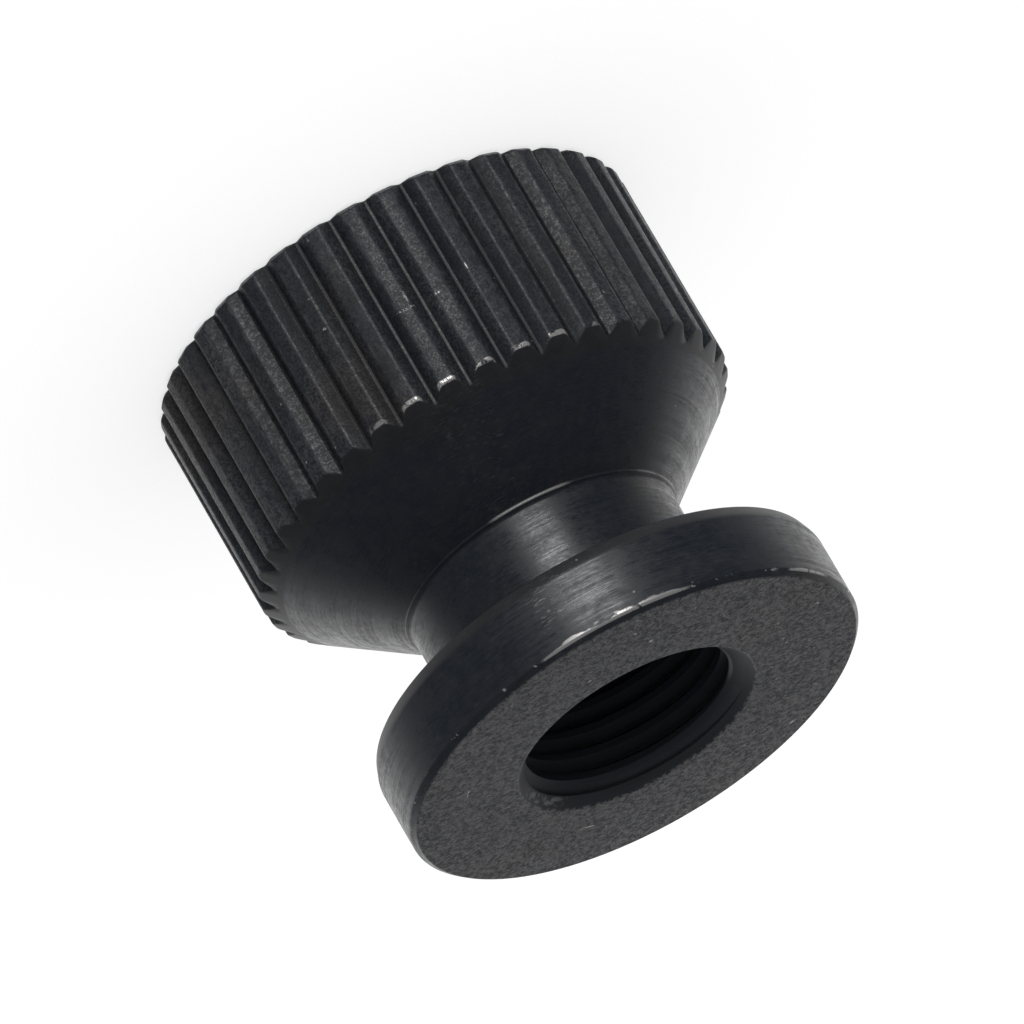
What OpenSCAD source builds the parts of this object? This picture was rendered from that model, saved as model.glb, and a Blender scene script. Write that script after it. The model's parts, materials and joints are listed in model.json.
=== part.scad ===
// Knurled adjusting nut
//
// A hand nut turned from one bar of steel. A straight-knurled head is turned by
// the fingers, a cone runs down from it to a plain neck, and a round flange
// beyond the neck bears on the work. The neck leaves a groove between the cone
// and the flange, in which a fork or a slotted plate can hold the nut.
//
// A fine thread runs through the whole nut. The hole here is the one that the
// thread is tapped in, with a countersink at both ends.
//
// The nut stands on its head with the flange up. The origin is on the axis, in
// the outer face of the head. Lengths are in millimetres, angles in degrees.

/* [Head] */
// Diameter over the crests of the knurl
head_d = 21; // [17:0.5:32]
// Length of the knurled band, from the outer face to the cone
head_l = 8.9; // [4:0.1:20]
// Chamfer round the outer face of the head
head_chamfer = 0.25; // [0.05:0.05:0.6]
// Length of the cone between the head and the neck
cone_l = 4.2; // [2:0.2:10]

/* [Knurl] */
// Number of grooves round the head
groove_count = 40; // [24:1:44]
// Depth of a groove below the crests
groove_depth = 0.4; // [0.2:0.05:0.5]
// Angle between the two flanks of a groove
groove_angle = 96; // [60:2:100]
// Width of the flat floor of a groove
groove_floor_w = 0.12; // [0.04:0.02:0.2]
// Width of the bevel that breaks each edge of a crest
crest_bevel_w = 0.08; // [0.02:0.02:0.12]
// Depth of the bevel that breaks each edge of a crest
crest_bevel_h = 0.04; // [0.02:0.01:0.08]

/* [Neck] */
// Diameter of the neck
neck_d = 11.8; // [11.2:0.2:15]
// Length of the neck, from the cone to the back of the flange
neck_l = 4.65; // [2:0.05:12]

/* [Flange] */
// Diameter of the flange
flange_d = 20; // [16:0.5:30]
// Thickness of the flange
flange_t = 3.5; // [1.5:0.1:8]
// Chamfer round the bearing face of the flange
face_chamfer = 0.25; // [0.1:0.05:0.6]
// Radial width of the bevel round the back of the flange
back_bevel_w = 0.2; // [0.1:0.05:0.6]
// Height of the bevel round the back of the flange
back_bevel_h = 0.55; // [0.1:0.05:0.8]

/* [Thread] */
// Nominal diameter of the thread
thread_d = 10; // [6:0.5:10]
// Pitch of the thread
thread_pitch = 1; // [0.5:0.25:1.5]
// Diameter of the countersink at the mouth of each end, beyond the thread
countersink_over = 0.6; // [0.2:0.1:1]
// Angle of the whole countersink
countersink_angle = 90; // [60:10:120]

/* [Hidden] */

$fn = 96;

// How far a cutter runs past the face that it opens
cutter_run = 1;

// Heights above the outer face of the head
cone_z = head_l;
neck_z = cone_z + cone_l;
flange_z = neck_z + neck_l;
top_z = flange_z + flange_t;

// The hole for the tap is one pitch smaller than the thread
bore_d = thread_d - thread_pitch;
countersink_d = thread_d + countersink_over;
countersink_h = (countersink_d - bore_d) / 2 / tan(countersink_angle / 2);

// Angle from one groove to the next
groove_step = 360 / groove_count;

// Width of a groove at a height above its floor
function groove_w(height) = groove_floor_w + 2 * height * tan(groove_angle / 2);

// The outline that the turning tool follows, from the axis out and back
module turned_outline() {
    polygon([
        [0, 0],
        [head_d / 2 - head_chamfer, 0],
        [head_d / 2, head_chamfer],
        [head_d / 2, cone_z],
        [neck_d / 2, neck_z],
        [neck_d / 2, flange_z],
        [flange_d / 2 - back_bevel_w, flange_z],
        [flange_d / 2, flange_z + back_bevel_h],
        [flange_d / 2, top_z - face_chamfer],
        [flange_d / 2 - face_chamfer, top_z],
        [0, top_z]
    ]);
}

// The section of one knurl groove, which opens outwards along X
module groove_section() {
    floor_r = head_d / 2 - groove_depth;
    flank_h = groove_depth - crest_bevel_h;
    flank_w = groove_w(flank_h) / 2;
    mouth_w = flank_w + crest_bevel_w;
    // The bevel goes on past the crest at its own slope
    past_w = mouth_w + cutter_run * crest_bevel_w / crest_bevel_h;
    polygon([
        [floor_r, -groove_floor_w / 2],
        [floor_r + flank_h, -flank_w],
        [head_d / 2, -mouth_w],
        [head_d / 2 + cutter_run, -past_w],
        [head_d / 2 + cutter_run, past_w],
        [head_d / 2, mouth_w],
        [floor_r + flank_h, flank_w],
        [floor_r, groove_floor_w / 2]
    ]);
}

// All the grooves, with a crest on the X axis. They run out in the cone.
module knurl_grooves() {
    for (i = [0 : groove_count - 1])
        rotate([0, 0, (i + 0.5) * groove_step])
            translate([0, 0, -cutter_run])
                linear_extrude(height = neck_z + cutter_run)
                    groove_section();
}

// A countersink whose mouth is at height 0, and which narrows downwards
module countersink() {
    mouth_d = countersink_d + 2 * cutter_run * tan(countersink_angle / 2);
    translate([0, 0, -countersink_h])
        cylinder(d1 = bore_d, d2 = mouth_d, h = countersink_h + cutter_run);
}

// The hole for the tap, open at both ends
module tapping_hole() {
    translate([0, 0, -cutter_run])
        cylinder(d = bore_d, h = top_z + 2 * cutter_run);
    translate([0, 0, top_z])
        countersink();
    mirror([0, 0, 1])
        countersink();
}

// The nut, one piece from flange to head
module nut() {
    color([0.13, 0.13, 0.14])
        difference() {
            rotate_extrude()
                turned_outline();
            knurl_grooves();
            tapping_hole();
        }
}

nut();
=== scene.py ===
# %% [markdown]
# # A knurled adjusting nut
#
# This nut was turned from one steel bar, knurled, tapped from end to end and blackened. It is one
# piece of metal, so it is one closed mesh here, and all of its character lies in small things: the
# rounded ridges of the knurl, the way the grooves run out in the cone, broken edges where bare
# steel glints through the black, fine turning marks and a grainy bearing face.
#
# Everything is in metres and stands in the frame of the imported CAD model: the nut rests on its
# knurled head at z = 0, and its flange is at the top.

import json
import math

import bmesh
import bpy
from mathutils import Matrix, Vector, noise


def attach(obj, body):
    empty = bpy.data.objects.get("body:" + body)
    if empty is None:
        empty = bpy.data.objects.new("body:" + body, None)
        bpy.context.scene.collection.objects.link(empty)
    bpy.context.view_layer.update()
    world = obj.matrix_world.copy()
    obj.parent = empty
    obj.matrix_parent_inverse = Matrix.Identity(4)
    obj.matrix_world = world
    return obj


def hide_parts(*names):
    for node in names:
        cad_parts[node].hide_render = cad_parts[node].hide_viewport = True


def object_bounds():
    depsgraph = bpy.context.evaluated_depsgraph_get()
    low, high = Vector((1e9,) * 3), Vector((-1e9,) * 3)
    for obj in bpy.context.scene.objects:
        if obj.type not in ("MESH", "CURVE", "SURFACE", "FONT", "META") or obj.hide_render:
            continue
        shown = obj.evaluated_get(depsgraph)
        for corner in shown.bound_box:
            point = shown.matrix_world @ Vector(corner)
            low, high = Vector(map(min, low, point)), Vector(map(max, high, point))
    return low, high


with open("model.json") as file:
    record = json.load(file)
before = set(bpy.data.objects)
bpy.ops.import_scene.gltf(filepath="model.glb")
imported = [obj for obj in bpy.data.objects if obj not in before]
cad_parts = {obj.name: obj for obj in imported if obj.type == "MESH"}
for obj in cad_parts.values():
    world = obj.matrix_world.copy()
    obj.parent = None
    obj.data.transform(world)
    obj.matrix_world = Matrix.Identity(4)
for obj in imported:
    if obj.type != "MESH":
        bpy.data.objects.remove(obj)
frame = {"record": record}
cad_low, cad_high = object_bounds()
print("CAD box", [round(v * 1000, 3) for v in (*cad_low, *cad_high)], "mm")

# %% [markdown]
# ## Sizes
#
# The frame already knows the nut's size: its box gives the height and the head's radius, and its
# mounts give the tapping hole and the neck. Reading them means that this model can't drift away
# from the CAD model. Only what a box and a mount can't tell is typed in here.

# %% Sizes of the nut
MM = 0.001
mounts = {mount["name"]: mount for mount in frame["record"]["mounts"]}

top_z = cad_high.z
head_r = cad_high.x
hole_r = mounts["thread"]["dims"]["r_mm"] * MM
neck_r = mounts["neck"]["dims"]["r_mm"] * MM
neck_l = mounts["neck"]["dims"]["length_mm"] * MM
neck_z = mounts["neck"]["pos_m"][2] - neck_l / 2
flange_z = neck_z + neck_l

cone_z = 8.9 * MM             # the rim, where the knurled head turns into the cone
head_chamfer = 0.25 * MM
flange_r = 10.0 * MM
face_chamfer = 0.25 * MM
back_bevel_w = 0.2 * MM
back_bevel_h = 0.55 * MM
mouth_r = 5.3 * MM            # the countersink at both ends of the hole
cone_slope = (neck_z - cone_z) / (head_r - neck_r)
thread_pitch = 1.0 * MM
thread_r = hole_r + thread_pitch / 2
seam_r = 6.6 * MM             # where the outside meets the sleeve of the hole, on both flat ends
sleeve_outer_r = 6.0 * MM
merge_gap = 0.0005 * MM       # vertices nearer than this are one

groove_count = 40
groove_depth = 0.4 * MM
groove_angle = math.radians(96)
groove_floor_w = 0.12 * MM
crest_break = 0.11 * MM       # how far the broken edge reaches across the top of a ridge
groove_pitch = 2 * math.pi * head_r / groove_count
print("groove pitch", round(groove_pitch / MM, 3), "mm")

# %% [markdown]
# ## Small helpers
#
# Operators act on whatever is selected, and the loaded CAD nodes are selected too. So each step
# starts from a clean selection. A new object is begun as a plane that is merged into one vertex:
# from there an outline can be drawn as by hand, by extruding the vertex from point to point.

# %% Helpers for selecting and drawing


def edit_only(piece):
    """Selects one object by itself and enters edit mode with vertices shown."""
    if bpy.context.object and bpy.context.object.mode != "OBJECT":
        bpy.ops.object.mode_set(mode="OBJECT")
    bpy.ops.object.select_all(action="DESELECT")
    piece.select_set(True)
    bpy.context.view_layer.objects.active = piece
    bpy.ops.object.mode_set(mode="EDIT")
    bpy.ops.mesh.select_mode(type="VERT")


def start_vertex(name, at):
    """A new object that is one selected vertex, left in edit mode."""
    bpy.ops.object.select_all(action="DESELECT")
    bpy.ops.mesh.primitive_plane_add(size=MM)
    piece = bpy.context.object
    piece.name = piece.data.name = name
    edit_only(piece)
    bpy.ops.mesh.select_all(action="SELECT")
    bpy.ops.mesh.merge(type="CENTER")
    # Leaving edit mode numbers the vertices afresh, so that new ones are numbered as they are drawn
    edit_only(piece)
    bpy.ops.mesh.select_all(action="SELECT")
    bpy.ops.transform.translate(value=at)
    return piece


def draw_to(points, start):
    """Extrudes the selected vertex along a list of points."""
    here = start
    for point in points:
        bpy.ops.mesh.extrude_vertices_move(TRANSFORM_OT_translate={"value": point - here})
        here = point


def select_verts(piece, wanted):
    """Selects the vertices whose place passes the test, in edit mode."""
    mesh = bmesh.from_edit_mesh(piece.data)
    for vert in mesh.verts:
        vert.select = wanted(vert)
    mesh.select_flush_mode()
    bmesh.update_edit_mesh(piece.data)


def radius_of(point):
    """Distance from the nut's axis."""
    return math.hypot(point.x, point.y)


# %% [markdown]
# ## Broken corners
#
# No real edge is sharp. A lathe tool leaves a tiny radius, a file breaks the edge, and handling
# wears it further. Each corner of an outline is therefore replaced by a short arc. The arc is a
# quadratic curve from a point a little before the corner to one a little after it, which never
# bulges outside the corner. It is held short of the neighbouring corners, so two arcs that lie
# close together can't cross.

# %% Round the corners of an outline


def round_corners(corners, arc_steps=3):
    """Points along a polyline of (x, y, reach), where each inner corner becomes an arc."""
    points = [Vector(corners[0][:2])]
    for before, corner, after in zip(corners, corners[1:], corners[2:]):
        here = Vector(corner[:2])
        back = Vector(before[:2]) - here
        ahead = Vector(after[:2]) - here
        if corner[2] == 0:
            points.append(here)
            continue
        reach = min(corner[2], 0.9 * back.length, 0.45 * ahead.length)
        start = here + back.normalized() * reach
        end = here + ahead.normalized() * reach
        for step in range(arc_steps + 1):
            t = step / arc_steps
            points.append(start * (1 - t) ** 2 + here * 2 * t * (1 - t) + end * t ** 2)
    points.append(Vector(corners[-1][:2]))
    return points


# %% [markdown]
# ## The knurl, rib by rib
#
# A straight knurl is rolled or cut into the head after turning, so its ridges keep the turned
# surface on top and the grooves are V-shaped with a narrow floor. Cutting 40 prisms away with
# booleans would give razor edges all round. Here one tooth is built like a boat's hull instead:
# ribs first, then skin. Each rib is the whole outline of the nut in one plane through the axis,
# and the ribs differ only in how deep the head is there. Where the rib's head is lower, its rim
# slides down along the cone, so the pointed run-outs appear by themselves, with a rounded edge.
#
# The section below says how deep the head is at each rib. A ridge has a flat top with two broken
# edges and straight flanks, and the floor of a groove is as wide as the tip of the tool. Top,
# flank and floor catch the light at different angles, which is what makes a knurl look crisp. One
# plain arc for each ridge would look like a bundle of rods.

# %% The section across one tooth


def tooth_section():
    """Places across one tooth, from the middle of one groove to the middle of the next."""
    half_pitch = groove_pitch / 2
    floor_r = head_r - groove_depth
    floor_at = half_pitch - groove_floor_w / 2
    mouth_at = floor_at - groove_depth * math.tan(groove_angle / 2)
    half = round_corners([
        (0, head_r, 0),
        (mouth_at, head_r, crest_break),
        (floor_at, floor_r, 0.04 * MM),
        (half_pitch, floor_r, 0),
    ], 5)
    mirrored = [Vector((-place.x, place.y)) for place in reversed(half[1:])]
    return mirrored + half


section = tooth_section()
print(len(section), "ribs to a tooth")

# %% [markdown]
# ## The outline of one rib
#
# This is the drawing that a turner works from: half of the nut's lengthwise section, as corners
# with a reach for each broken edge. Only two things depend on the depth of the head. The lower
# chamfer shrinks as the head gets lower, and the rim moves along the cone. Every rib has the same
# number of points, because its points are joined to those of the next rib one by one.

# %% The outline of one rib
wall_rows = 12                # rows of faces up the wall of the head
smallest_chamfer = 0.06 * MM  # what is left of the head's chamfer in the floor of a groove
cone_rows = (head_r - groove_depth - 0.2 * MM, head_r - groove_depth - 0.4 * MM)
step_w = 0.16 * MM            # the small step that the lathe tool leaves between cone and neck
step_h = 0.07 * MM


def rib_outline(rib_head_r):
    """The nut's outline from the bottom face to the top face, for one depth of the head."""
    sunk = head_r - rib_head_r
    low_break = max(head_chamfer - sunk, smallest_chamfer)
    rim_z = cone_z + sunk * cone_slope
    step_z = neck_z - step_w * cone_slope
    lower = [
        (seam_r, 0, 0),
        (rib_head_r - low_break, 0, 0.06 * MM),
        (rib_head_r, low_break, 0.06 * MM),
        (rib_head_r, rim_z / 2, 0),
    ]
    upper = [
        (rib_head_r, rim_z / 2, 0),
        (rib_head_r, rim_z, 0.10 * MM),
        *((r, cone_z + (head_r - r) * cone_slope, 0) for r in cone_rows),
        (neck_r + step_w, step_z, 0.03 * MM),
        (neck_r + step_w, step_z + step_h, 0.03 * MM),
        (neck_r, neck_z + 0.5 * step_h, 0.10 * MM),
        (neck_r, flange_z, 0.14 * MM),
        (flange_r - back_bevel_w, flange_z, 0.05 * MM),
        (flange_r, flange_z + back_bevel_h, 0.10 * MM),
        (flange_r, top_z - face_chamfer, 0.06 * MM),
        (flange_r - face_chamfer, top_z, 0.05 * MM),
        (seam_r, top_z, 0),
    ]
    below = round_corners(lower)[:-1]
    above = round_corners(upper)[1:]
    foot, rim = below[-1], above[0]
    wall = [foot.lerp(rim, row / wall_rows) for row in range(1, wall_rows)]
    return below + wall + above


def to_space(point, angle):
    """A point of an outline, turned to its place round the axis."""
    return Vector((point.x * math.cos(angle), point.x * math.sin(angle), point.y))


# %% [markdown]
# ## Ribs and skin
#
# The first rib is drawn by extruding one vertex. Each later rib is a copy of the one before it,
# moved into its own place, and bridging two neighbours gives the strip of skin between them. On
# the head the ribs stand close together where the section bends. Above the grooves nothing bends,
# so from the cone upwards they are spaced evenly and the round walls get even facets.

# %% Draw the ribs of one tooth and skin them
def draw_tooth():
    """One tooth's strip of the nut, from face to face."""
    ribs = []
    for number, place in enumerate(section):
        knurl_angle = place.x / head_r
        even_angle = (number / (len(section) - 1) - 0.5) * 2 * math.pi / groove_count
        rib = rib_outline(place.y)
        smooth_from = next(i for i, point in enumerate(rib) if abs(point.x - cone_rows[-1]) < 1e-7)
        ribs.append([to_space(point, even_angle if i >= smooth_from else knurl_angle)
                     for i, point in enumerate(rib)])
    size = len(ribs[0])
    tooth = start_vertex("nut_outside", ribs[0][0])
    draw_to(ribs[0][1:], ribs[0][0])
    for rib in ribs[1:]:
        bpy.ops.mesh.select_all(action="DESELECT")
        mesh = bmesh.from_edit_mesh(tooth.data)
        mesh.verts.ensure_lookup_table()
        for vert in mesh.verts[-size:]:
            vert.select = True
        mesh.select_flush_mode()
        bmesh.update_edit_mesh(tooth.data)
        bpy.ops.mesh.duplicate()
        mesh = bmesh.from_edit_mesh(tooth.data)
        mesh.verts.ensure_lookup_table()
        for vert, point in zip(mesh.verts[-size:], rib):
            vert.co = point
        bmesh.update_edit_mesh(tooth.data)
    for left in range(len(ribs) - 1):
        first, last = left * size, (left + 2) * size
        select_verts(tooth, lambda vert: first <= vert.index < last)
        bpy.ops.mesh.bridge_edge_loops()
    return tooth


outside = draw_tooth()
bpy.ops.object.mode_set(mode="OBJECT")
print("one tooth:", len(outside.data.vertices), "vertices,", len(outside.data.polygons), "faces")

# %% [markdown]
# ## All the teeth
#
# A knurling tool makes every groove alike, so one tooth is modelled and 39 copies are spun round
# the axis. Neighbours share the rib in the middle of a groove, and merging doubles makes those
# two ribs one.

# %% Copy the tooth round the axis
edit_only(outside)
bpy.ops.mesh.select_all(action="SELECT")
bpy.ops.mesh.spin(steps=groove_count - 1, dupli=True,
                  angle=2 * math.pi * (groove_count - 1) / groove_count,
                  center=(0, 0, 0), axis=(0, 0, 1))
bpy.ops.mesh.select_all(action="SELECT")
bpy.ops.mesh.remove_doubles(threshold=merge_gap)
bpy.ops.object.mode_set(mode="OBJECT")
print("all teeth:", len(outside.data.vertices), "vertices,", len(outside.data.polygons), "faces")

# %% [markdown]
# ## Uneven ridges
#
# A knurling wheel presses steel aside, and it never presses every groove equally deep. Rolled
# ridges are a little uneven along their length too. Both are drawn here with smooth noise, which
# gives the same number for the same place on every run. The ridges only ever lose height, so the
# head keeps its diameter.

# %% Make the ridges uneven
uneven_grooves = 0.16         # share of a groove's depth
uneven_crests = 0.012 * MM

bpy.ops.object.mode_set(mode="OBJECT")
for vert in outside.data.vertices:
    radius = radius_of(vert.co)
    if radius < head_r - 1.3 * groove_depth or vert.co.z > cone_z + groove_depth:
        continue
    around = math.atan2(vert.co.y, vert.co.x)
    on_ring = Vector((math.cos(around), math.sin(around), 0))
    groove_share = uneven_grooves * noise.noise(on_ring * 9 + Vector((0, 0, vert.co.z / (14 * MM))))
    crest_loss = 0.5 + 0.5 * noise.noise(on_ring * 22 + Vector((0, 0, vert.co.z / (1.6 * MM))))
    lower = (head_r - radius) * groove_share + uneven_crests * crest_loss
    sharpness = min(1, (vert.co.z - head_chamfer) / (0.5 * MM)) if vert.co.z > head_chamfer else 0
    vert.co.xy *= 1 - max(lower * sharpness, 0) / radius
print("ridges between", round(min(radius_of(v.co) for v in outside.data.vertices) / MM, 3), "and",
      round(max(radius_of(v.co) for v in outside.data.vertices) / MM, 3), "mm from the axis")

# %% [markdown]
# ## The tapped hole
#
# The hole is modelled by the way it is made: drill, countersink, tap. The sleeve is a ring with
# the drilled hole and both countersinks, spun from its section. The tap is a screw: one pitch of
# thread is drawn and wound upwards by a Screw modifier. Taking the tap away from the sleeve cuts
# the thread, and where its turns run out in a countersink they leave the thin crescents that
# show inside the mouth of any tapped hole.

# %% Spin the sleeve
sleeve_steps = 160


def draw_sleeve():
    """The inner part of the nut: a closed ring with a drilled and countersunk hole."""
    sink_h = mouth_r - hole_r
    corners = [
        (sleeve_outer_r, 0, 0),
        (mouth_r, 0, 0.05 * MM),
        (hole_r, sink_h, 0.03 * MM),
        (hole_r, top_z - sink_h, 0.03 * MM),
        (mouth_r, top_z, 0.05 * MM),
        (sleeve_outer_r, top_z, 0),
    ]
    outline = [to_space(point, 0) for point in round_corners(corners)]
    sleeve = start_vertex("sleeve", outline[0])
    draw_to(outline[1:] + outline[:1], outline[0])
    bpy.ops.mesh.select_all(action="SELECT")
    bpy.ops.mesh.spin(steps=sleeve_steps, angle=2 * math.pi, center=(0, 0, 0), axis=(0, 0, 1))
    bpy.ops.mesh.select_all(action="SELECT")
    bpy.ops.mesh.remove_doubles(threshold=merge_gap)
    bpy.ops.mesh.normals_make_consistent(inside=False)
    bpy.ops.object.mode_set(mode="OBJECT")
    return sleeve


sleeve = draw_sleeve()
print("sleeve:", len(sleeve.data.polygons), "faces")

# %% [markdown]
# ## The tap
#
# A tap is a cutter with the thread's own shape, sharp flanks at 60 degrees with a small flat.
# One pitch of its outline is drawn, and the Screw modifier winds it up the axis. It starts below
# the nut and ends above it, as the real tool passes right through. Its core is a little thinner
# than the drilled hole, so only the ridges of the screw touch metal.

# %% Wind the tap
tap_steps = 96
tap_root_r = hole_r - 0.1 * MM


def draw_tap():
    """A screw with a sharp-flanked thread, longer than the nut at both ends."""
    half_flat = thread_pitch / 16
    flank_w = (thread_r - tap_root_r) * math.tan(math.radians(30))
    middle = thread_pitch / 2
    start_z = -1.92 * thread_pitch
    turn = [
        (tap_root_r, 0),
        (tap_root_r, middle - half_flat - flank_w),
        (thread_r, middle - half_flat),
        (thread_r, middle + half_flat),
        (tap_root_r, middle + half_flat + flank_w),
        (tap_root_r, thread_pitch),
    ]
    outline = [to_space(Vector((r, z + start_z)), 0) for r, z in turn]
    tap = start_vertex("tap", outline[0])
    draw_to(outline[1:], outline[0])
    bpy.ops.object.mode_set(mode="OBJECT")
    wind = tap.modifiers.new("wind", "SCREW")
    wind.axis = "Z"
    wind.angle = 2 * math.pi
    wind.screw_offset = thread_pitch
    wind.iterations = math.ceil(top_z / thread_pitch) + 3
    wind.steps = wind.render_steps = tap_steps
    wind.use_merge_vertices = True
    wind.merge_threshold = merge_gap
    bpy.ops.object.modifier_apply(modifier="wind")
    edit_only(tap)
    bpy.ops.mesh.select_all(action="SELECT")
    bpy.ops.mesh.remove_doubles(threshold=merge_gap)
    bpy.ops.mesh.select_all(action="DESELECT")
    bpy.ops.mesh.select_non_manifold()
    return tap


def close_tap_ends(tap):
    """Each open end of the tap is drawn together into one point on the axis."""
    for is_end in (lambda z: z < 0, lambda z: z > top_z):
        bpy.ops.mesh.select_all(action="DESELECT")
        bpy.ops.mesh.select_non_manifold()
        mesh = bmesh.from_edit_mesh(tap.data)
        for edge in mesh.edges:
            if edge.select and not is_end(edge.verts[0].co.z):
                edge.select_set(False)
        bmesh.update_edit_mesh(tap.data)
        bpy.ops.mesh.extrude_edges_move()
        bpy.ops.mesh.merge(type="CENTER")
    bpy.ops.mesh.select_all(action="SELECT")
    bpy.ops.mesh.normals_make_consistent(inside=False)
    bpy.ops.object.mode_set(mode="OBJECT")


tap = draw_tap()
close_tap_ends(tap)
print("tap:", len(tap.data.polygons), "faces")

# %% [markdown]
# ## Cutting
#
# The tap is taken away from the sleeve with one boolean. The exact solver is slower than the fast
# one, and it copes with the many thin crescents where turns meet the countersinks.

# %% Cut the thread
bpy.ops.object.select_all(action="DESELECT")
sleeve.select_set(True)
bpy.context.view_layer.objects.active = sleeve
cut = sleeve.modifiers.new("cut", "BOOLEAN")
cut.operation = "DIFFERENCE"
cut.solver = "EXACT"
cut.object = tap
bpy.ops.object.modifier_apply(modifier="cut")
bpy.data.objects.remove(tap)
print("tapped sleeve:", len(sleeve.data.polygons), "faces")

# %% [markdown]
# ## One closed mesh
#
# The sleeve's outer wall is taken off, which leaves an open ring at each end. The outside has an
# open ring at each end too. Both lie in the same flat face, so filling the space between them
# closes the nut. Bridging would want as many points on one ring as on the other. Filling doesn't,
# and a flat face shades the same however it is divided.

# %% Join the sleeve to the outside
flat_tolerance = 0.005 * MM

edit_only(sleeve)
bpy.ops.mesh.select_mode(type="FACE")
mesh = bmesh.from_edit_mesh(sleeve.data)
for face in mesh.faces:
    middle = face.calc_center_median()
    face.select = radius_of(middle) > sleeve_outer_r - 0.1 * MM and 0.2 < middle.z / top_z < 0.8
bmesh.update_edit_mesh(sleeve.data)
bpy.ops.mesh.delete(type="FACE")
bpy.ops.object.mode_set(mode="OBJECT")

bpy.ops.object.select_all(action="DESELECT")
sleeve.select_set(True)
outside.select_set(True)
bpy.context.view_layer.objects.active = outside
bpy.ops.object.join()
nut = outside
nut.name = nut.data.name = "adjusting_nut"

for end_z in (0, top_z):
    edit_only(nut)
    select_verts(nut, lambda vert: abs(vert.co.z - end_z) < flat_tolerance
                 and sleeve_outer_r - flat_tolerance < radius_of(vert.co) < seam_r + flat_tolerance)
    bpy.ops.mesh.fill()
bpy.ops.mesh.select_all(action="SELECT")
bpy.ops.mesh.normals_make_consistent(inside=False)
bpy.ops.mesh.select_all(action="DESELECT")
bpy.ops.mesh.select_non_manifold()
open_edges = sum(edge.select for edge in bmesh.from_edit_mesh(nut.data).edges)
bpy.ops.object.mode_set(mode="OBJECT")
print("closed nut:", len(nut.data.polygons), "faces,", open_edges, "open edges")

# %% [markdown]
# ## Shading
#
# Broken edges are only three or four faces wide, so smooth shading rounds them off. Edges sharper
# than 40 degrees stay crisp, such as the bottom of the thread. Weighted normals let large faces
# decide the direction of the shading, so that a flat face stays flat right up to its rim.

# %% Smooth shading that keeps flat faces flat
sharp_from = 40               # degrees between two faces

bpy.ops.object.shade_smooth_by_angle(angle=math.radians(sharp_from))
flatten = nut.modifiers.new("flatten", "WEIGHTED_NORMAL")
flatten.keep_sharp = True
bpy.ops.object.modifier_apply(modifier="flatten")
print("edges over", sharp_from, "degrees stay crisp")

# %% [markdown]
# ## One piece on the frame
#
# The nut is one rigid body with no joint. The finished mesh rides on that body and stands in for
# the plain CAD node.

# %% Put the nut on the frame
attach(nut, "root")
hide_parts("nut")
print(nut.name, "rides on root and stands in for node nut")

# %% [markdown]
# ## Blackened steel
#
# The nut is blackened in a hot bath of salts, which turns the outermost steel into a dark iron
# oxide. The layer is thinner than a hair and it hides nothing: a turned wall stays glossy, a
# blasted face stays matt, and a corner that rubs soon shows bright steel again. So there is one
# oxide here with one colour, and each zone of the nut differs only in what was done to it before
# the bath and after it. The oxide is a mineral and not a metal, so the shader gets a metallic value
# of 0 and a very dark colour: it mirrors light without tinting it, and scatters almost none.
#
# All patterns read Object coordinates, in millimetres, so they stay in the metal from any side.

# %% Helpers for building materials


def new_material(name):
    """A material with a bare Principled shader, and its node tree."""
    material = bpy.data.materials.new(name)
    material.use_nodes = True
    return material, material.node_tree, material.node_tree.nodes["Principled BSDF"]


def add_node(tree, kind, values, **settings):
    """Adds a node. Each value is either linked, when it is a socket, or typed in."""
    node = tree.nodes.new("ShaderNode" + kind)
    for name, setting in settings.items():
        setattr(node, name, setting)
    for name, value in values.items():
        if isinstance(value, bpy.types.NodeSocket):
            tree.links.new(value, node.inputs[name])
        else:
            node.inputs[name].default_value = value
    return node


def calculate(tree, operation, first, second=0.0):
    """The result of one sum or product."""
    return add_node(tree, "Math", {0: first, 1: second}, operation=operation).outputs[0]


def fade(tree, value, none_at, full_at):
    """A smooth mask: 0 where the value is at none_at, 1 where it is at full_at."""
    node = add_node(tree, "MapRange", {"Value": value, "From Min": none_at, "From Max": full_at},
                    interpolation_type="SMOOTHSTEP")
    return node.outputs["Result"]


def between(tree, value, limits):
    """A smooth mask that is 1 between the two middle limits and 0 outside the outer two."""
    rise = fade(tree, value, limits[0], limits[1])
    return calculate(tree, "MULTIPLY", rise, fade(tree, value, limits[3], limits[2]))


def blend_between(tree, mask, first, second, kind="FLOAT"):
    """A number or a colour that goes from the first to the second where the mask is 1."""
    node = add_node(tree, "Mix", {}, data_type=kind)
    slots = {"FLOAT": (0, 2, 3, 0), "RGBA": (0, 6, 7, 2)}[kind]
    for slot, value in zip(slots, (mask, first, second)):
        if isinstance(value, bpy.types.NodeSocket):
            tree.links.new(value, node.inputs[slot])
        else:
            node.inputs[slot].default_value = value
    return node.outputs[slots[3]]


# %% [markdown]
# ## Where a point is on the nut
#
# A lathe leaves marks that run round the axis, so a pattern for them has to follow the circle.
# The noise is read on a narrow tube: the direction from the axis picks a place on the tube's
# circle, which closes on itself without a seam, and the way along the outline picks a place on its
# length. A small circle and a long way give long thin marks. Two more numbers are for the knurl:
# how far a point lies from the middle of its ridge, and how far up the ridge it is when the rim's
# slide along the cone is taken off.

# %% Places and patterns


def direction_of(azimuth, elevation=0):
    """A unit vector that points the given way from the nut, in degrees."""
    azimuth, elevation = math.radians(azimuth), math.radians(elevation)
    return Vector((math.cos(elevation) * math.cos(azimuth),
                   math.cos(elevation) * math.sin(azimuth),
                   math.sin(elevation)))


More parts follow.
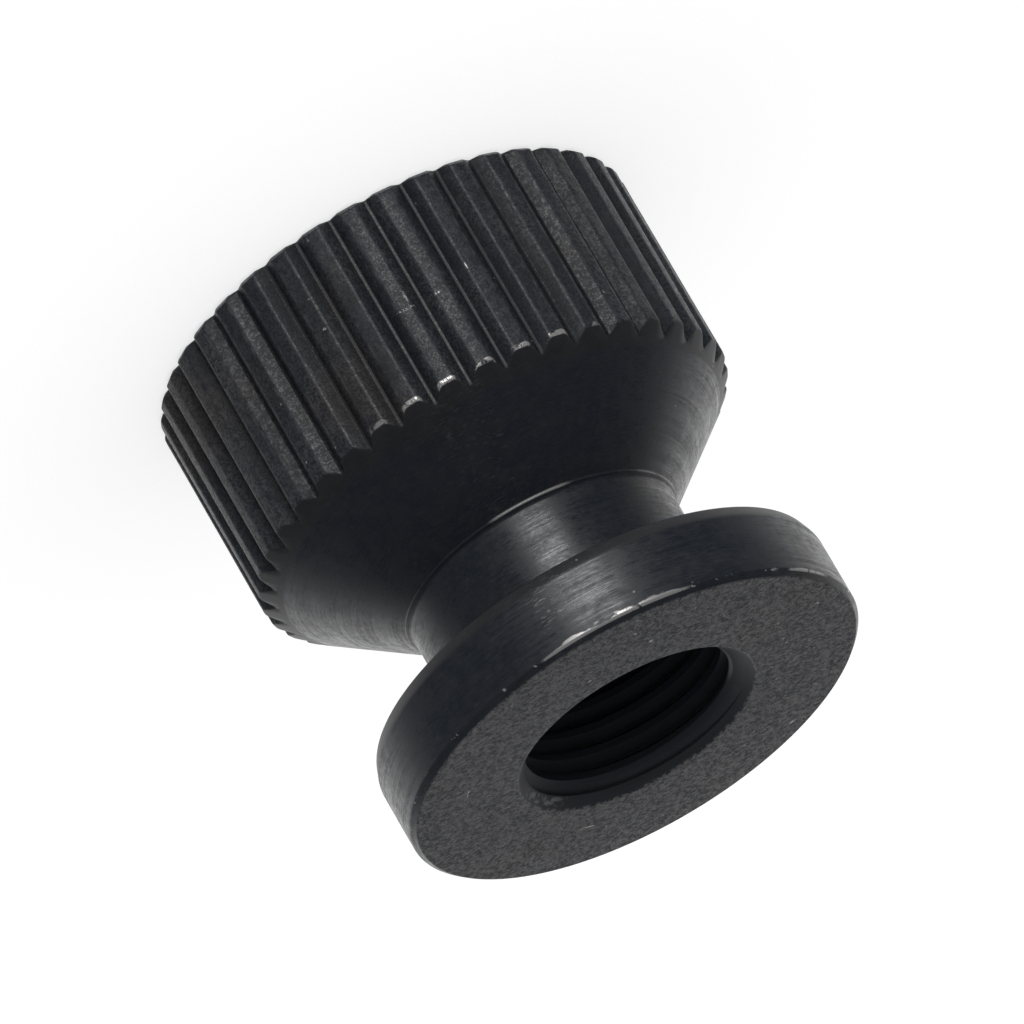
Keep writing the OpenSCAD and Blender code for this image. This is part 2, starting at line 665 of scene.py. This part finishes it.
def find_place(tree):
    """The place of a shaded point, in millimetres, with the directions that the patterns follow."""
    spot = add_node(tree, "TexCoord", {}).outputs["Object"]
    spot = add_node(tree, "VectorMath", {0: spot, "Scale": 1 / MM}, operation="SCALE").outputs[0]
    split = add_node(tree, "SeparateXYZ", {0: spot})
    flat = add_node(tree, "CombineXYZ", {0: split.outputs[0], 1: split.outputs[1]}).outputs[0]
    radius = add_node(tree, "VectorMath", {0: flat}, operation="LENGTH").outputs["Value"]
    towards = add_node(tree, "VectorMath", {0: flat}, operation="NORMALIZE").outputs[0]
    along = calculate(tree, "SUBTRACT", split.outputs[2], calculate(tree, "MULTIPLY", radius, 0.7))
    angle = calculate(tree, "ARCTAN2", split.outputs[1], split.outputs[0])
    teeth = calculate(tree, "MULTIPLY", angle, groove_count / (2 * math.pi))
    across = calculate(tree, "MULTIPLY", calculate(tree, "PINGPONG", teeth, 0.5), groove_pitch / MM)
    sunk = calculate(tree, "SUBTRACT", head_r / MM, radius)
    rim = calculate(tree, "SUBTRACT", split.outputs[2], calculate(tree, "MULTIPLY", sunk, cone_slope))
    return {"spot": spot, "radius": radius, "height": split.outputs[2], "towards": towards,
            "along": along, "rim": rim, "across": across}


def round_noise(tree, place, circle, length, detail=2.0):
    """Noise that runs round the axis: circle sets how short the marks are, length how narrow."""
    ring = add_node(tree, "VectorMath", {0: place["towards"], "Scale": circle}, operation="SCALE")
    lift = add_node(tree, "CombineXYZ", {2: calculate(tree, "MULTIPLY", place["along"], length)})
    where = add_node(tree, "VectorMath", {0: ring.outputs[0], 1: lift.outputs[0]}, operation="ADD")
    noise_node = add_node(tree, "TexNoise", {"Vector": where.outputs[0], "Scale": 1.0,
                                             "Detail": detail, "Roughness": 0.6})
    return noise_node.outputs["Fac"]


def spot_noise(tree, place, scale, detail=2.0):
    """Noise with no direction, with the given number of waves to a millimetre."""
    noise_node = add_node(tree, "TexNoise", {"Vector": place["spot"], "Scale": scale,
                                             "Detail": detail, "Roughness": 0.6})
    return noise_node.outputs["Fac"]


def specks(tree, place, cells, size, share):
    """Small round marks: one to a cell at most, and only in the given share of the cells."""
    cell = add_node(tree, "TexVoronoi", {"Vector": place["spot"], "Scale": cells})
    chosen = calculate(tree, "LESS_THAN",
                       add_node(tree, "SeparateColor", {0: cell.outputs["Color"]}).outputs[0], share)
    dot = fade(tree, cell.outputs["Distance"], size, size * 0.5)
    return calculate(tree, "MULTIPLY", chosen, dot)


# %% [markdown]
# ## One recipe for the oxide
#
# Every zone is made by the same function. It gets the zone's own roughness, dust, wear and bump,
# and if the zone has them also a film of its own, a brown tinge, painted shade in its hollows and a
# weaker shine. It adds what all zones share. The colour drifts between blue-black and brown-black,
# as the bath leaves it. Dust is how grey the zone looks: a rough surface scatters light from its
# peaks and holds a little dirt. Where wear is 1, bare steel shows, brighter and fully metal. Blackened
# parts are dipped in oil at the end, and the film that stays on smooth walls is the shader's coat. It
# is glossier than the oxide, so it sharpens highlights and brightens the walls that are seen edge on.

# %% The oxide recipe
blue_black = (0.0080, 0.0103, 0.0150, 1)
brown_black = (0.0125, 0.0115, 0.0115, 1)
dusty_grey = (0.052, 0.050, 0.053, 1)
# Near black that is painted into the deep knurl grooves as painted shade.
groove_shade_black = (0.003, 0.003, 0.003, 1)
bare_steel = (0.56, 0.54, 0.52, 1)
bare_roughness = 0.25


def add_wear(tree, wear, bare, share):
    """The wear with one more kind of bare spot, which is as strong as its share."""
    return calculate(tree, "MAXIMUM", wear, calculate(tree, "MULTIPLY", bare, share))


def blacken(name, dress, oil):
    """An oxide material. dress returns its roughness, dust, wear and bump for a place."""
    material, tree, shader = new_material(name)
    mirrored = 0.5 - 0.4 * oil
    shader.inputs["Specular IOR Level"].default_value = mirrored
    shader.inputs["Coat Weight"].default_value = oil
    shader.inputs["Coat IOR"].default_value = 1.47
    place = find_place(tree)
    look = dress(tree, place)
    if "shine" in look:
        tree.links.new(calculate(tree, "MULTIPLY", look["shine"], mirrored),
                       shader.inputs["Specular IOR Level"])
        tree.links.new(calculate(tree, "MULTIPLY", look["shine"], oil), shader.inputs["Coat Weight"])
    film = look.get("film", 0.3)
    if isinstance(film, float):
        shader.inputs["Coat Roughness"].default_value = film
    else:
        tree.links.new(film, shader.inputs["Coat Roughness"])
    drift = fade(tree, spot_noise(tree, place, 0.14, 1.0), 0.54, 0.74)
    drift = calculate(tree, "MAXIMUM", drift, look.get("brown", 0.0))
    colour = blend_between(tree, drift, blue_black, brown_black, "RGBA")
    # Painted shade: where a zone gives it, the colour of its hollows is blended towards near black.
    if "groove_shade" in look:
        colour = blend_between(tree, look["groove_shade"], colour, groove_shade_black, "RGBA")
    colour = blend_between(tree, look["dust"], colour, dusty_grey, "RGBA")
    colour = blend_between(tree, look["wear"], colour, bare_steel, "RGBA")
    tree.links.new(colour, shader.inputs["Base Color"])
    tree.links.new(look["wear"], shader.inputs["Metallic"])
    tree.links.new(blend_between(tree, look["wear"], look["roughness"], bare_roughness),
                   shader.inputs["Roughness"])
    bump = add_node(tree, "Bump", {"Height": look["height"], "Distance": look["depth"] * MM,
                                   "Strength": 1.0})
    tree.links.new(bump.outputs["Normal"], shader.inputs["Normal"])
    print(name, "has", len(tree.nodes), "nodes")
    return material


# %% [markdown]
# ## The turned walls
#
# The cone, the neck and the flange's side came straight off the lathe. Their marks are a tenth of
# a millimetre wide or finer, so they spread a highlight along the axis more than round it.
# Handling adds short scratches round the nut, and a few pale specks. Bare steel shows on the
# flange's edge and on the small step at the foot of the neck. Next to the ridges the cone has a
# narrow dull band, where the knurling tool stopped, and the bevel behind the flange is dull too.
# Wear is never even, so lists of stretches say where the nut was handled most.

# %% Stretches that were handled
# Middle and half width in degrees, and how much.
handled = ((-96, 21, 1.0), (-152, 9, 0.4), (24, 16, 0.12), (96, 14, 0.7))
handled_walls = ((-89, 10, 1.0), (60, 20, 0.4), (150, 12, 0.4))
handled_rim = ((-99, 34, 1.0), (28, 20, 0.7), (110, 16, 0.9))
# Stretches where the groove floors are lighter: the first faces the lamp and is a painted highlight, the
# others are a little polish.
floor_polish_and_highlight = ((-94, 34, 1.0), (20, 40, 0.8), (130, 30, 0.7))


def stretches(tree, place, spans):
    """A mask of the given stretches of the circle, with soft ends."""
    mask = 0.0
    for middle, half_width, share in spans:
        facing = add_node(tree, "VectorMath", {0: place["towards"], 1: direction_of(middle)},
                          operation="DOT_PRODUCT").outputs["Value"]
        one = fade(tree, facing, math.cos(math.radians(half_width)),
                   math.cos(math.radians(half_width * 0.25)))
        mask = calculate(tree, "MAXIMUM", calculate(tree, "MULTIPLY", one, share), mask)
    return mask


print(len(handled), "stretches of the flange's edge were handled")

# %% Marks on the turned walls
head_at, rim_at = head_r / MM, cone_z / MM
flange_at, flange_low = flange_r / MM, flange_z / MM
step_at = (neck_z - step_w) / MM
edge_at = (top_z - face_chamfer) / MM


def wall_scratches(tree, place, strokes, breaks):
    """Short scratches round the nut, most of them on the flange where it was handled."""
    scratch = calculate(tree, "MULTIPLY", fade(tree, strokes, 0.54, 0.68), fade(tree, breaks, 0.35, 0.6))
    on_flange = between(tree, place["height"], [flange_low + up for up in (0.3, 0.7, 1.8, 2.6)])
    rubbed = stretches(tree, place, handled_walls)
    return calculate(tree, "MULTIPLY", scratch, blend_between(
        tree, rubbed, 0.06, blend_between(tree, on_flange, 0.2, 1.4)))


def worn_edge(tree, place, busy, breaks):
    """Bare steel on the flange's edge, which reaches a little way down the wall in places."""
    under = calculate(tree, "SUBTRACT", edge_at, place["height"])
    reach = calculate(tree, "MULTIPLY", fade(tree, round_noise(tree, place, 9.0, 3.0), 0.3, 0.65),
                      blend_between(tree, fade(tree, busy, 0.2, 1.0), 0.0, 0.19))
    edge = fade(tree, calculate(tree, "SUBTRACT", reach, under), -0.06, 0.03)
    edge = calculate(tree, "MULTIPLY", edge, fade(tree, under, -0.08, -0.03))
    return calculate(tree, "MULTIPLY", edge, blend_between(
        tree, fade(tree, busy, 0.0, 0.4), fade(tree, breaks, 0.60, 0.68), fade(tree, breaks, 0.30, 0.45)))


def dull_bands(tree, place):
    """The band of the cone next to the ridges, and the bevel behind the flange."""
    band = calculate(tree, "MULTIPLY", fade(tree, place["radius"], head_at - 1.0, head_at - 0.15),
                     between(tree, place["height"], [rim_at + up for up in (-0.2, -0.1, 0.6, 0.7)]))
    bevel = calculate(tree, "MULTIPLY",
                      fade(tree, place["radius"], flange_at - 0.3, flange_at - 0.2),
                      fade(tree, place["height"], flange_low + 0.62, flange_low + 0.50))
    return calculate(tree, "MAXIMUM", band, bevel)


print("the flange's edge is", round(edge_at, 2), "mm up, the step by the neck", round(step_at, 2), "mm")

# %% Turned walls


def dress_turned(tree, place):
    """Long lathe marks and cloudy dust, with scratches, a worn edge and step, and dull bands."""
    marks = round_noise(tree, place, 1.5, 9.0, 3.0)
    strokes = round_noise(tree, place, 24.0, 20.0, 2.0)
    cloud = fade(tree, spot_noise(tree, place, 1.3, 3.0), 0.34, 0.66)
    breaks = spot_noise(tree, place, 2.5, 3.0)
    busy = stretches(tree, place, handled)
    scratch = wall_scratches(tree, place, strokes, breaks)
    edge = worn_edge(tree, place, busy, breaks)
    step = calculate(tree, "MULTIPLY", fade(tree, busy, 0.1, 0.9), between(
        tree, place["height"], [step_at + up for up in (-0.02, 0.01, 0.09, 0.12)]))
    dots = specks(tree, place, 0.9, 0.06, 0.2)
    dull = dull_bands(tree, place)

    wear = calculate(tree, "MULTIPLY", scratch, 0.22)
    for bare, share in ((dots, 0.25), (edge, 0.7), (step, 0.3)):
        wear = add_wear(tree, wear, bare, share)
    grooves = blend_between(tree, 0.5, marks, strokes)
    roughness = calculate(tree, "ADD", blend_between(tree, cloud, 0.37, 0.45),
                          blend_between(tree, fade(tree, grooves, 0.3, 0.7), -0.14, 0.14))
    roughness = blend_between(tree, dull, roughness, 0.50)
    dust = calculate(tree, "MULTIPLY", cloud, 0.06)
    relief = calculate(tree, "SUBTRACT", grooves, calculate(tree, "MULTIPLY", scratch, 0.5))
    return {"roughness": roughness, "dust": dust, "wear": wear, "height": relief,
            "depth": 0.006, "brown": calculate(tree, "MULTIPLY", dull, 0.7),
            "film": calculate(tree, "SUBTRACT", roughness, 0.06)}


turned_oxide = blacken("turned_oxide", dress_turned, 0.5)

# %% [markdown]
# ## The bearing face
#
# The flange's face was blasted or etched, not left as turned: it is matt and grainy, and has no
# rings. Two sizes of soft noise make the grain, in its greyness, its roughness and its bump at
# once, so that a pale grain is also a raised and smoother one. A few scuffs with bright metal lie
# on it. They are placed one by one, because a person notices single marks more than any noise.

# %% Scuffs on the bearing face
face_marks = (                # millimetres from the axis, degrees, half length and half width in mm
    (8.3, -100.8, 0.22, 0.07), (7.1, -105.8, 0.10, 0.14), (6.4, -81.8, 0.10, 0.08),
    (7.6, -20.0, 0.40, 0.04), (8.8, -166.0, 0.12, 0.12), (6.9, 60.0, 0.50, 0.05),
    (8.9, 130.0, 0.16, 0.10),
)


def oval(tree, place, middle, along, up, half_long, half_wide):
    """A soft-edged oval mark, lying in the two given directions round its middle."""
    away = add_node(tree, "VectorMath", {0: place["spot"], 1: middle}, operation="SUBTRACT").outputs[0]
    parts = [add_node(tree, "VectorMath", {0: away, 1: direction / half}, operation="DOT_PRODUCT")
             for direction, half in ((along, half_long), (up, half_wide), (along.cross(up), 0.8))]
    vector = add_node(tree, "CombineXYZ", {i: part.outputs["Value"] for i, part in enumerate(parts)})
    far = add_node(tree, "VectorMath", {0: vector.outputs[0]}, operation="LENGTH").outputs["Value"]
    return fade(tree, far, 1.0, 0.5)


print(len(face_marks), "scuffs on the bearing face")

# %% Bearing face


def dress_face(tree, place):
    """Two sizes of grain, clouds of dust, fine bright dots and the scuffs."""
    fine = fade(tree, spot_noise(tree, place, 10.0, 1.0), 0.42, 0.58)
    coarse = fade(tree, spot_noise(tree, place, 3.8, 2.0), 0.40, 0.60)
    cloud = fade(tree, spot_noise(tree, place, 0.5, 3.0), 0.3, 0.7)
    grain = blend_between(tree, 0.45, fine, coarse)
    dots = specks(tree, place, 2.2, 0.17, 0.14)
    dust = calculate(tree, "ADD", grain, calculate(tree, "MULTIPLY", cloud, 0.22))
    roughness = blend_between(tree, grain, 0.68, 0.46)
    wear = calculate(tree, "MULTIPLY", dots, 0.18)
    for radius, angle, half_long, half_wide in face_marks:
        out = direction_of(angle)
        middle = out * radius + Vector((0, 0, top_z / MM))
        mark = oval(tree, place, middle, Vector((-out.y, out.x, 0)), out, half_long, half_wide)
        mark = calculate(tree, "MULTIPLY", mark, fade(tree, fine, 0.1, 0.6))
        wear = add_wear(tree, wear, mark, 0.5)
    return {"roughness": roughness, "dust": dust, "wear": wear, "height": grain, "depth": 0.014}


face_oxide = blacken("face_oxide", dress_face, 0.0)

# %% [markdown]
# ## The knurl's finish
#
# Rolling leaves the ridges a little rough, and the oxide on them looks like fine cast iron. The
# grain is a small change in roughness and in how metallic the oxide is, so it sparkles where a
# lamp is mirrored and vanishes elsewhere. The grooves are painted darker as painted shade, with
# less grey and less sparkle, and they shine less. Their floors are lighter in a few stretches: a
# little polish, and where they face the lamp a painted highlight. The edges of the ridges are
# rubbed a little, and at the rim of the cone the steel is bare. The nicks are placed one by one,
# like the scuffs.

# %% Nicks in the knurl
nicks = (                     # degrees round the axis, height, half length and half width in mm
    (-90.3, 5.25, 0.50, 0.09), (-91.5, 4.75, 0.06, 0.35), (-97.8, 5.25, 0.20, 0.07),
    (-107.0, 7.17, 0.09, 0.10), (-106.5, 4.69, 0.06, 0.22), (-73.0, 2.61, 0.08, 0.09),
    (-73.0, 4.05, 0.07, 0.08), (-55.0, 5.33, 0.06, 0.08), (-133.8, 7.41, 0.06, 0.12),
    (38.0, 6.1, 0.35, 0.09), (71.0, 3.4, 0.10, 0.12), (126.0, 7.0, 0.09, 0.20),
    (163.0, 2.2, 0.30, 0.10),
)
print(len(nicks), "nicks in the knurl")

# %% Knurl
floor_at = (groove_pitch - groove_floor_w) / 2 / MM


def dress_knurl(tree, place):
    """Grain that sparkles, grooves with painted shade, rubbed ridges, a bare rim and the nicks."""
    fine = fade(tree, spot_noise(tree, place, 10.0, 2.0), 0.45, 0.58)
    coarse = fade(tree, spot_noise(tree, place, 3.5, 2.0), 0.41, 0.59)
    grain = blend_between(tree, 0.35, fine, coarse)
    ridge = fade(tree, round_noise(tree, place, 7.0, 0.15, 1.0), 0.40, 0.58)
    cloud = fade(tree, spot_noise(tree, place, 0.6, 3.0), 0.3, 0.7)
    valley = fade(tree, place["radius"], head_at - 0.1, head_at - 0.3)
    # Lighter groove floors: a painted highlight where they face the lamp, a little polish elsewhere.
    bottom = calculate(tree, "MULTIPLY", fade(tree, place["across"], floor_at - 0.02, floor_at + 0.01),
                       stretches(tree, place, floor_polish_and_highlight))
    edges = calculate(tree, "MULTIPLY", between(tree, place["across"], (0.20, 0.26, 0.32, 0.38)),
                      fade(tree, spot_noise(tree, place, 2.0, 3.0), 0.35, 0.7))
    dots = specks(tree, place, 1.6, 0.10, 0.12)
    # Less grey dust and less sparkle in the grooves, which darkens them as painted shade.
    open_grain = calculate(tree, "MULTIPLY", grain, blend_between(tree, valley, 1.0, 0.6))
    open_grain = calculate(tree, "MULTIPLY", open_grain, blend_between(tree, ridge, 0.6, 1.1))
    dust = calculate(tree, "MULTIPLY", open_grain, 0.06)
    roughness = blend_between(tree, grain, 0.54, 0.38)
    wear = calculate(tree, "MULTIPLY", open_grain, blend_between(tree, cloud, 0.025, 0.05))
    rim = calculate(tree, "MULTIPLY", stretches(tree, place, handled_rim),
                    fade(tree, spot_noise(tree, place, 1.3, 3.0), 0.44, 0.54))
    rim = calculate(tree, "MULTIPLY", rim, between(
        tree, place["rim"], [rim_at + up for up in (-0.24, -0.16, -0.05, 0.0)]))
    rim = calculate(tree, "MULTIPLY", rim, fade(tree, place["across"], 0.5, 0.3))
    for bare, share in ((dots, 0.3), (rim, 0.8), (edges, 0.05), (bottom, 0.06)):
        wear = add_wear(tree, wear, bare, share)
    relief = grain
    for angle, up, half_long, half_wide in nicks:
        out = direction_of(angle)
        middle = out * head_at + Vector((0, 0, up))
        mark = oval(tree, place, middle, Vector((-out.y, out.x, 0)), Vector((0, 0, 1)),
                    half_long, half_wide)
        mark = calculate(tree, "MULTIPLY", mark, fade(tree, fine, 0.0, 0.7))
        wear = add_wear(tree, wear, mark, 0.4)
        relief = calculate(tree, "SUBTRACT", relief, mark)
    return {"roughness": roughness, "dust": dust, "wear": wear, "height": relief, "depth": 0.014,
            "film": calculate(tree, "SUBTRACT", roughness, 0.06),
            # Painted shade: the deep grooves are blended up to 30 percent towards near black.
            "groove_shade": calculate(tree, "MULTIPLY", valley, 0.3),
            "shine": blend_between(tree, valley, 0.58, 0.52)}


knurl_oxide = blacken("knurl_oxide", dress_knurl, 0.5)

# %% [markdown]
# ## The bore
#
# A tap tears the steel a little as it cuts, so the thread is duller than the walls, and a little
# dust lies in its roots and in the mouth. The mouth has a thin rubbed lip. Two short stretches of
# burr catch the light, one in the countersink and one at its inner end, where the thread starts.

# %% Bore


def dress_bore(tree, place):
    """Dull turns with dust in the roots, a rubbed lip and two short stretches of burr."""
    marks = round_noise(tree, place, 1.5, 9.0, 3.0)
    grain = fade(tree, spot_noise(tree, place, 4.0, 3.0), 0.38, 0.62)
    radius, depth = place["radius"], calculate(tree, "SUBTRACT", top_z / MM, place["height"])
    lip = calculate(tree, "MULTIPLY", fade(tree, depth, 0.09, 0.02), fade(tree, grain, 0.2, 0.8))
    inner = calculate(tree, "MULTIPLY", between(tree, depth, (0.66, 0.74, 0.84, 0.92)),
                      stretches(tree, place, ((178, 24, 1.0),)))
    burr = calculate(tree, "MULTIPLY", stretches(tree, place, ((24, 20, 1.0),)),
                     between(tree, depth, (0.10, 0.16, 0.34, 0.44)))
    burr = calculate(tree, "MULTIPLY", burr, fade(tree, grain, 0.3, 0.9))
    mouth = fade(tree, radius, 4.6, 4.9)
    roughness = blend_between(tree, marks, 0.45, 0.62)
    dust = calculate(tree, "MULTIPLY", blend_between(tree, marks, 0.0, 1.6),
                     blend_between(tree, mouth, 0.0, 0.16))
    wear = calculate(tree, "MULTIPLY", lip, 0.12)
    for bare, share in ((burr, 0.15), (inner, 0.12)):
        wear = add_wear(tree, wear, bare, share)
    return {"roughness": roughness, "dust": dust, "wear": wear, "height": marks, "depth": 0.010}


bore_oxide = blacken("bore_oxide", dress_bore, 0.0)

# %% [markdown]
# ## Which face has which finish
#
# All zones are one mesh, so the finish is chosen face by face. Distance from the axis finds the
# bore, height finds the two flat ends, and the knurl ends where the surface turns towards the
# cone. The direction of a face is a better test there than its height, because the rim between
# knurl and cone moves up and down with every groove.

# %% Give each zone its finish
TURNED, FACE, KNURL, BORE = range(4)
steepest_knurl = 0.45         # how far the face of a ridge may look up before it counts as cone


def zone_of(middle, normal):
    """Which finish a face has, by the place of its middle and the way it faces."""
    if radius_of(middle) < mouth_r + 0.02 * MM:
        return BORE
    if middle.z > top_z - 0.3 * face_chamfer or middle.z < 0.3 * head_chamfer:
        return FACE
    if middle.z < cone_z + groove_depth and normal.z < steepest_knurl:
        return KNURL
    return TURNED


nut.data.materials.clear()
for finish in (turned_oxide, face_oxide, knurl_oxide, bore_oxide):
    nut.data.materials.append(finish)
counts = [0] * len(nut.data.materials)
for face in nut.data.polygons:
    face.material_index = zone_of(face.center, face.normal)
    counts[face.material_index] += 1
print("faces: turned, flat, knurled, bore", counts)

# %% [markdown]
# ## Camera
#
# The nut is seen from far away through a long lens, so that perspective hardly shows. The camera
# is rolled over by 150 degrees: the nut stands upright on its head, yet in the view its head is at
# the upper left and its flange at the lower right.

# %% Camera
camera_azimuth = -87.8
camera_elevation = 24.54
camera_roll = math.radians(149.76)
camera_distance = 0.7943
camera_aim = Vector((-0.00004, 0.00001, 0.01035))

bpy.ops.object.camera_add()
camera = bpy.context.object
camera.data.sensor_width = 36
camera.data.lens = 703.1
camera.data.clip_start = 0.05
camera.data.clip_end = 5
towards_camera = direction_of(camera_azimuth, camera_elevation)
level = towards_camera.to_track_quat("Z", "Y").to_matrix().to_4x4()
camera.matrix_world = (Matrix.Translation(camera_aim + towards_camera * camera_distance)
                       @ level @ Matrix.Rotation(camera_roll, 4, "Z"))
bpy.context.scene.camera = camera
print("camera stands", camera_distance, "m away with a", round(camera.data.lens), "mm lens")

# %% [markdown]
# ## Floor
#
# The nut stands on a white table. The floor gives off most of its light itself, so it looks white
# and still takes the nut's soft shadow. It is hidden from mirrored and scattered rays and casts
# no shadow, because the lamp stands below its level and must reach the nut.

# %% Floor
bpy.ops.mesh.primitive_plane_add(size=1.2, location=(0, 0, -0.02 * MM))
floor = bpy.context.object
floor.name = "floor"
floor_paint, tree, shader = new_material("pale_floor")
shader.inputs["Base Color"].default_value = (0.5, 0.5, 0.5, 1)
shader.inputs["Roughness"].default_value = 0.9
shader.inputs["Emission Color"].default_value = (1, 1, 1, 1)
shader.inputs["Emission Strength"].default_value = 0.66
floor.data.materials.append(floor_paint)
floor.visible_diffuse = False
floor.visible_glossy = False
floor.visible_shadow = False
print("floor is", round(floor.dimensions.x, 2), "m wide")

# %% [markdown]
# ## Sky
#
# Black oxide is seen almost only by what it mirrors. The sky is therefore a studio tent: pale
# behind the nut and dark round the camera. Walls that turn away from the viewer mirror the pale
# side and get light edges, and walls that face the viewer stay dark. Scattered light comes from
# an even grey, and what the camera sees directly is white.

# %% Sky
tent_dark = (0.07, 0.08, 0.1, 1)
tent_pale = (1, 1, 1, 1)
even_grey = (0.8, 0.8, 0.8, 1)

world = bpy.data.worlds.new("studio")
bpy.context.scene.world = world
world.use_nodes = True
tree = world.node_tree
tree.nodes.clear()
rays = add_node(tree, "LightPath", {})
looking = add_node(tree, "TexCoord", {}).outputs["Generated"]
behind = add_node(tree, "VectorMath", {0: looking, 1: -towards_camera}, operation="DOT_PRODUCT")
sky = blend_between(tree, fade(tree, behind.outputs["Value"], 0.1, 0.9), tent_dark, tent_pale, "RGBA")
sky = blend_between(tree, rays.outputs["Is Diffuse Ray"], sky, even_grey, "RGBA")
sky = blend_between(tree, rays.outputs["Is Camera Ray"], sky, (1, 1, 1, 1), "RGBA")
background = add_node(tree, "Background", {"Color": sky})
add_node(tree, "OutputWorld", {"Surface": background.outputs["Background"]})
print("the sky has", len(tree.nodes), "nodes")

# %% [markdown]
# ## Lamp
#
# One square lamp makes the bright bands along the neck, the flange and the ridges. It stands a
# little to the side of the camera and lower than the nut, which is above it in the rolled view.
# Its size sets how wide the bands are, together with the roughness of the oxide.

# %% Lamp
lamp_distance = 0.25
lamp_size = 0.09
lamp_power = 0.25
lamp_direction = direction_of(-99.8, -24.5)

bpy.ops.object.light_add(type="AREA", location=lamp_direction * lamp_distance + Vector((0, 0, top_z)))
lamp = bpy.context.object
lamp.rotation_euler = lamp_direction.to_track_quat("Z", "Y").to_euler()
lamp.data.shape = "SQUARE"
lamp.data.size = lamp_size
lamp.data.energy = lamp_power
lamp.visible_camera = False
print("lamp:", lamp_size, "m square,", lamp_distance, "m away,", lamp_power, "W")

# %% [markdown]
# ## View settings
#
# The plain view transform shows colours as they are written.

# %% View settings
bpy.context.scene.view_settings.view_transform = "Standard"
bpy.context.view_layer.update()
